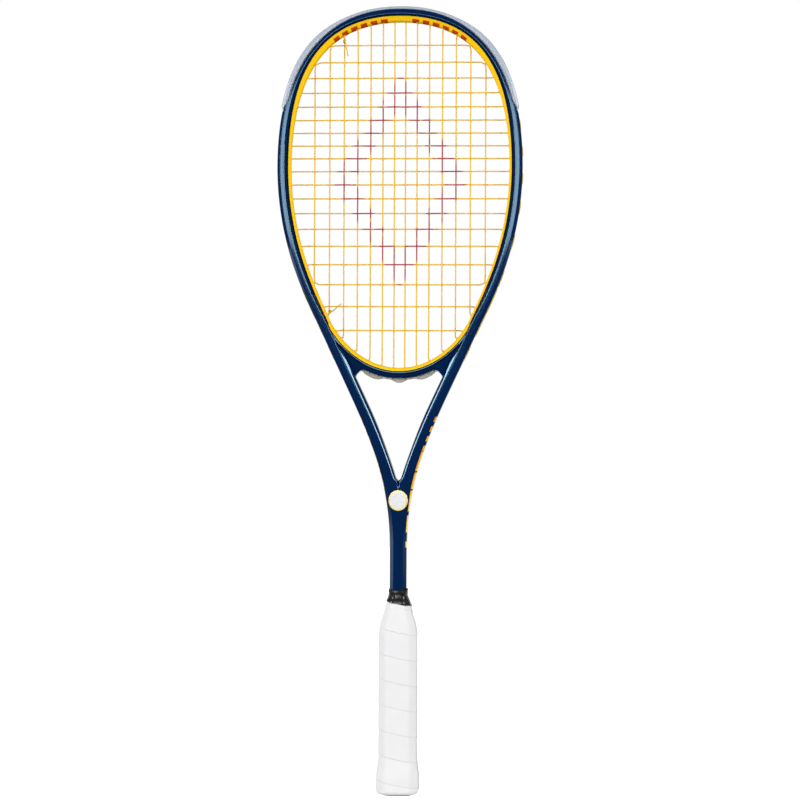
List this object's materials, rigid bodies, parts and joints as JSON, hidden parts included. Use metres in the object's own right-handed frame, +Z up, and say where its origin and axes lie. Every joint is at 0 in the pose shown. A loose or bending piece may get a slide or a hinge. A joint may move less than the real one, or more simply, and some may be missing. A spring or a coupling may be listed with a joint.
{
  "type": "squash racket",
  "caption": "Squash racket with a teardrop hoop, open throat and bridge, woven strings through grommet strips, a bumper guard, and wound grip tape on an octagonal handle.",
  "frame": {"origin": "centre of the butt cap's flat end", "axes": "+Z up the shaft to the tip of the head, X across the string bed, front face of the strings towards -Y"},
  "size_m": [0.2147, 0.034, 0.685],
  "materials": {
    "frame_lacquer": "gloss lacquer over carbon fibre",
    "bumper_nylon": "translucent nylon",
    "grommet_nylon": "satin nylon",
    "string_nylon": "smooth nylon string",
    "handle_foam": "rigid foam",
    "cap_plastic": "satin",
    "staple_steel": "bright wire",
    "grip_pu": "soft polyurethane tape",
    "tape_vinyl": "stretched vinyl tape"
  },
  "bodies": {
    "root": {"frame": "frame_lacquer", "throat_bridge": "frame_lacquer", "bumper_guard": "bumper_nylon", "left_grommet_strip": "grommet_nylon", "right_grommet_strip": "grommet_nylon", "throat_grommet_strip": "grommet_nylon", "main_string": "string_nylon", "cross_string": "string_nylon", "handle_pallet": "handle_foam", "butt_cap": "cap_plastic", "left_staple": "staple_steel", "right_staple": "staple_steel", "grip_tape": "grip_pu", "finishing_tape": "tape_vinyl"}
  },
  "joints": []
}
